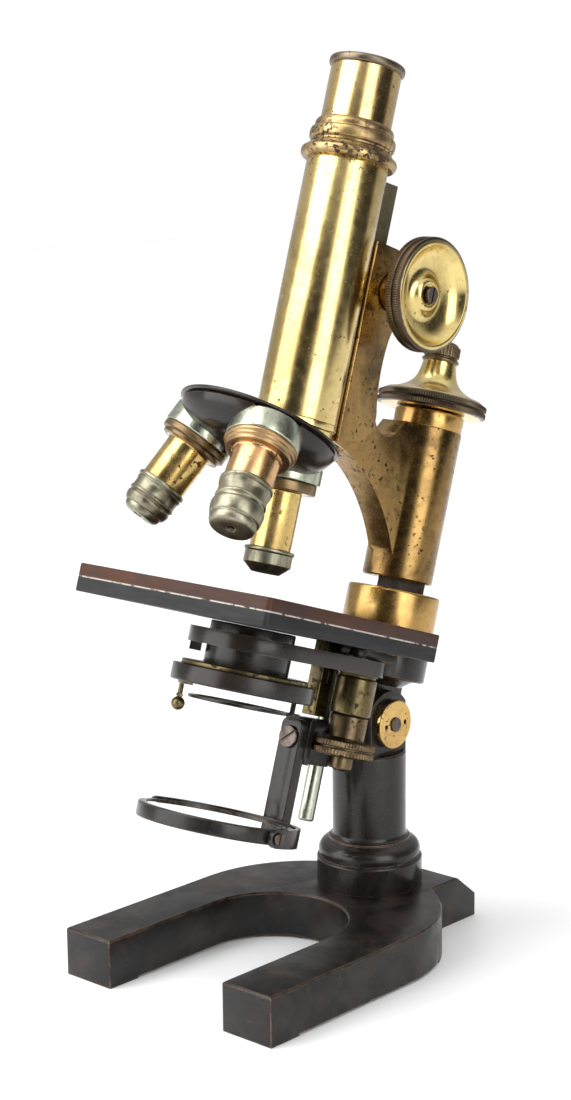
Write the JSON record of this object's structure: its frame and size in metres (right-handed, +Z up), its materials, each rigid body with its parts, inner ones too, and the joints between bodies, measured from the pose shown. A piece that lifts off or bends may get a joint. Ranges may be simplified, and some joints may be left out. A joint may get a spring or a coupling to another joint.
{
  "type": "compound microscope",
  "caption": "Brass compound microscope on a horseshoe foot, with inclining limb, square stage, triple nosepiece, rack focusing, condenser with iris and a double mirror.",
  "frame": {"origin": "on the foot's resting plane, under the pillar's axis", "axes": "+Z up; the foot's prongs point along -Y; +X to the right of a user facing the eyepiece from +Y, seen from the front as the side of the substage screw"},
  "size_m": [0.108, 0.1818, 0.3514],
  "materials": {
    "bright_brass": "lacquered, polished",
    "gilt_brass": "brushed, lacquered",
    "bronze_brass": "satin, darkened lacquer",
    "tarnished_brass": "tarnished",
    "black_japan": "stoved black enamel, worn",
    "vulcanite": "matt hard rubber",
    "vulcanite_brown": "faded hard rubber",
    "nickel": "dull nickel plate",
    "steel": "oiled, brown with age",
    "glass": "polished",
    "mirror": "silvered glass"
  },
  "bodies": {
    "base": {"foot": "black_japan", "foot_screws": "steel", "pillar": "black_japan", "hinge_bolt": "steel", "hinge_nuts": "gilt_brass"},
    "limb": {"limb": "black_japan", "limb_collar": "gilt_brass", "prism_post": "steel", "stage_plate": "vulcanite", "stage_cover": "vulcanite_brown", "stage_screws": "steel", "substage_guide": "tarnished_brass", "mirror_rod": "nickel", "mirror_carrier": "black_japan"},
    "arm": {"arm": "bronze_brass", "arm_cap": "gilt_brass", "fine_spring": "steel"},
    "fine_knob": {"micrometer_screw": "steel", "fine_knob": "bright_brass", "fine_knob_cap": "tarnished_brass"},
    "coarse_pinion": {"pinion": "steel", "coarse_knob_right": "bright_brass", "coarse_knob_left": "bright_brass", "coarse_knob_screws": "steel"},
    "body_tube": {"rack_slide": "bronze_brass", "main_tube": "bright_brass", "tube_collar": "tarnished_brass", "tube_ring": "tarnished_brass", "nosepiece_shield": "black_japan", "nosepiece_pivot": "steel"},
    "draw_tube": {"draw_tube": "bright_brass"},
    "eyepiece": {"eyepiece_shell": "tarnished_brass", "eyepiece_lenses": "glass"},
    "nosepiece": {"nosepiece_dome": "black_japan", "nosepiece_sockets": "nickel", "objective_low_barrel": "bright_brass", "objective_low_tip": "nickel", "objective_high_barrel": "bronze_brass", "objective_high_tip": "nickel", "objective_mid_barrel": "bright_brass", "objective_mid_tip": "nickel", "objective_lenses": "glass"},
    "substage": {"substage_arm": "black_japan", "condenser_mount": "black_japan", "condenser_lens": "glass", "iris_plate": "tarnished_brass", "iris_housing": "black_japan", "iris_leaves": "steel", "screw_barrel": "tarnished_brass"},
    "substage_screw": {"substage_knob": "tarnished_brass", "lead_screw": "steel", "lead_screw_nut": "steel"},
    "iris_lever": {"iris_lever": "steel"},
    "filter_ring": {"filter_ring": "black_japan"},
    "mirror_bar": {"mirror_bar": "black_japan", "mirror_bar_screw": "steel"},
    "mirror_fork": {"mirror_fork": "black_japan", "fork_screws": "steel"},
    "mirror": {"mirror_ring": "black_japan", "mirror_glasses": "mirror"}
  },
  "joints": [
    {"name": "inclination", "type": "hinge", "parent": "base", "child": "limb", "pos_m": [0, 0, 0.0876], "axis": [-1, 0, 0], "range_deg": [-18, 72]},
    {"name": "fine_focus", "type": "slide", "parent": "limb", "child": "arm", "axis": [0, 0.309, 0.9511], "range_m": [-0.002, 0.002]},
    {"name": "fine_knob_turn", "type": "hinge", "parent": "arm", "child": "fine_knob", "pos_m": [0, 0.04017, 0.21124], "axis": [0, 0.309, 0.9511], "range_deg": [-1080, 1080]},
    {"name": "coarse_focus", "type": "slide", "parent": "arm", "child": "body_tube", "axis": [0, 0.309, 0.9511], "range_m": [-0.0078, 0.041]},
    {"name": "coarse_knob_turn", "type": "hinge", "parent": "arm", "child": "coarse_pinion", "pos_m": [0, 0.00486, 0.25951], "axis": [1, 0, 0], "range_deg": [-477, 89]},
    {"name": "draw_tube_slide", "type": "slide", "parent": "body_tube", "child": "draw_tube", "axis": [0, 0.309, 0.9511], "range_m": [-0.018, 0.045]},
    {"name": "eyepiece_lift", "type": "slide", "parent": "draw_tube", "child": "eyepiece", "axis": [0, 0.309, 0.9511], "range_m": [0, 0.03]},
    {"name": "nosepiece_turn", "type": "hinge", "parent": "body_tube", "child": "nosepiece", "pos_m": [0, -0.02353, 0.27147], "axis": [0.0265, 0.5389, 0.8419], "continuous": true},
    {"name": "substage_focus", "type": "slide", "parent": "limb", "child": "substage", "axis": [0, 0.309, 0.9511], "range_m": [-0.012, 0]},
    {"name": "substage_knob_turn", "type": "hinge", "parent": "substage", "child": "substage_screw", "pos_m": [0.012, -0.02596, 0.09604], "axis": [0, 0.309, 0.9511], "range_deg": [0, 360]},
    {"name": "iris_lever_turn", "type": "hinge", "parent": "substage", "child": "iris_lever", "pos_m": [0, -0.07532, 0.11207], "axis": [0, 0.309, 0.9511], "range_deg": [-45, 45]},
    {"name": "filter_ring_swing", "type": "hinge", "parent": "substage", "child": "filter_ring", "pos_m": [0.011, -0.05847, 0.10344], "axis": [0, 0.309, 0.9511], "range_deg": [0, 95]},
    {"name": "mirror_bar_swing", "type": "hinge", "parent": "limb", "child": "mirror_bar", "pos_m": [0, -0.04555, 0.08978], "axis": [0, 0.9511, -0.309], "range_deg": [-12, 12]},
    {"name": "mirror_fork_swivel", "type": "hinge", "parent": "mirror_bar", "child": "mirror_fork", "pos_m": [0, -0.05668, 0.05555], "axis": [0, 0.9511, -0.309], "range_deg": [-20, 20]},
    {"name": "mirror_tilt", "type": "hinge", "parent": "mirror_fork", "child": "mirror", "pos_m": [0, -0.09016, 0.06642], "axis": [1, 0, 0], "continuous": true}
  ],
  "couplings": [
    {"joint": "fine_focus", "follows": "fine_knob_turn", "m_per_rad": 0.000079577},
    {"joint": "coarse_focus", "follows": "coarse_knob_turn", "m_per_rad": -0.0048},
    {"joint": "substage_focus", "follows": "substage_knob_turn", "m_per_rad": -0.0019}
  ]
}
